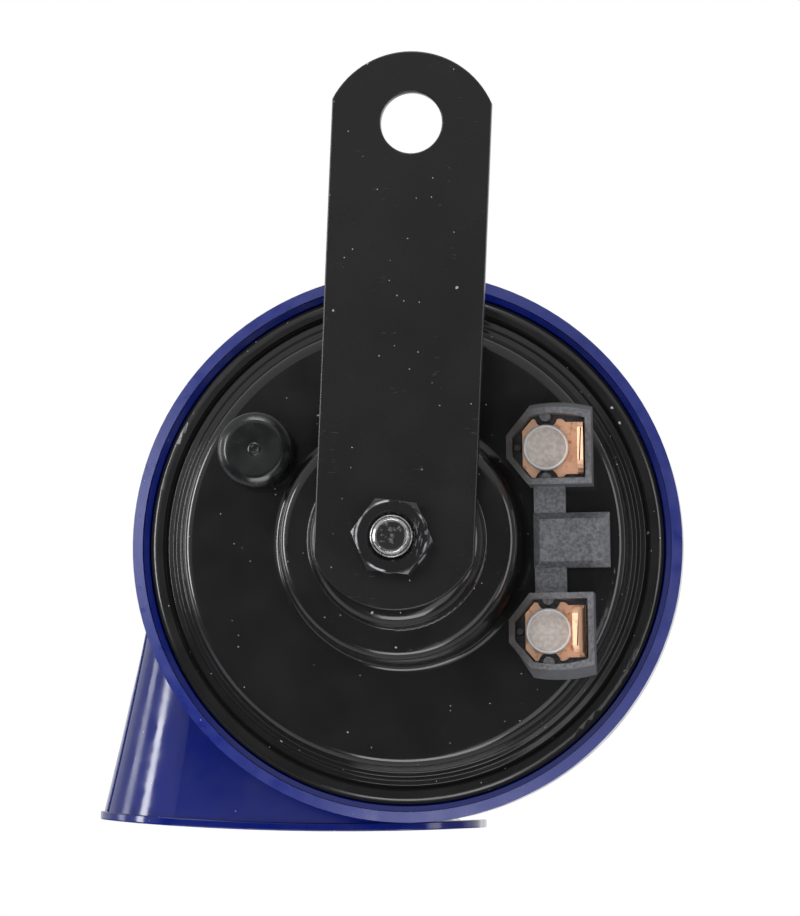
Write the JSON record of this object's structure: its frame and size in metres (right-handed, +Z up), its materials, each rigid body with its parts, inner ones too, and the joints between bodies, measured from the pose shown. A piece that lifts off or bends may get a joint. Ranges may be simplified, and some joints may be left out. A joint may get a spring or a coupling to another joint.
{
  "type": "car horn",
  "caption": "Electromagnetic snail-trumpet car horn: coiled moulded trumpet, crimped steel drive unit, spade terminal block and flat steel mounting strap.",
  "frame": {"origin": "centre of the mounting strap's hole, halfway through the strap", "axes": "+Z up along the strap, -Y along the hole's axis to the rear (the side with strap, nut and terminals), +X to the right seen from behind"},
  "size_m": [0.0848, 0.071, 0.1103],
  "materials": {
    "trumpet_blue": "moulded navy-blue plastic, glossy",
    "coated_steel": "black electro-coat on pressed steel, glossy",
    "strap_steel": "black electro-coat on flat steel, satin",
    "nut_steel": "black zinc, satin",
    "stud_steel": "turned steel, bright",
    "block_plastic": "moulded glass-filled plastic, matte",
    "cap_plastic": "moulded black plastic, glossy",
    "terminal_copper": "copper-plated sheet, satin",
    "rivet_metal": "upset rivet head, matte",
    "winding_copper": "enamelled copper wire",
    "bobbin_plastic": "moulded nylon",
    "magnet_steel": "plain low-carbon steel",
    "spring_steel": "rolled spring steel",
    "gasket_paper": "gasket paper",
    "seal_rubber": "moulded rubber",
    "insulator_board": "phenolic board",
    "contact_brass": "brass strip",
    "contact_metal": "tungsten contact"
  },
  "bodies": {
    "horn": {"trumpet_rear": "trumpet_blue", "trumpet_front": "trumpet_blue", "drive_housing": "coated_steel", "front_plate": "coated_steel", "mounting_strap": "strap_steel", "strap_nut": "nut_steel", "core_stud": "stud_steel", "terminal_block": "block_plastic", "adjuster_cap": "cap_plastic", "terminal_upper": "terminal_copper", "terminal_lower": "terminal_copper", "terminal_rivet_upper": "rivet_metal", "terminal_rivet_lower": "rivet_metal", "coil_bobbin": "bobbin_plastic", "coil_winding": "winding_copper", "yoke_plate": "magnet_steel", "diaphragm": "spring_steel", "rear_gasket": "gasket_paper", "front_gasket": "gasket_paper", "trumpet_seal": "seal_rubber", "breaker_carrier": "magnet_steel", "breaker_base": "insulator_board", "breaker_spacer": "insulator_board", "moving_contact_spring": "contact_brass", "fixed_contact_arm": "contact_brass", "moving_contact_point": "contact_metal", "fixed_contact_point": "contact_metal", "breaker_rivets": "contact_brass", "adjuster_bush": "contact_brass", "adjusting_screw": "magnet_steel", "inner_insulators": "insulator_board", "solder_tags": "contact_brass"},
    "armature": {"armature": "magnet_steel", "contact_collar": "bobbin_plastic", "diaphragm_washer_rear": "magnet_steel", "diaphragm_washer_front": "magnet_steel", "armature_nut": "magnet_steel"}
  },
  "joints": [
    {"name": "armature_stroke", "type": "slide", "parent": "horn", "child": "armature", "axis": [0, -1, 0], "range_m": [-0.0003, 0.0006], "stiffness_N_per_m": 2000, "deforming": ["diaphragm", "moving_contact_spring"]}
  ]
}
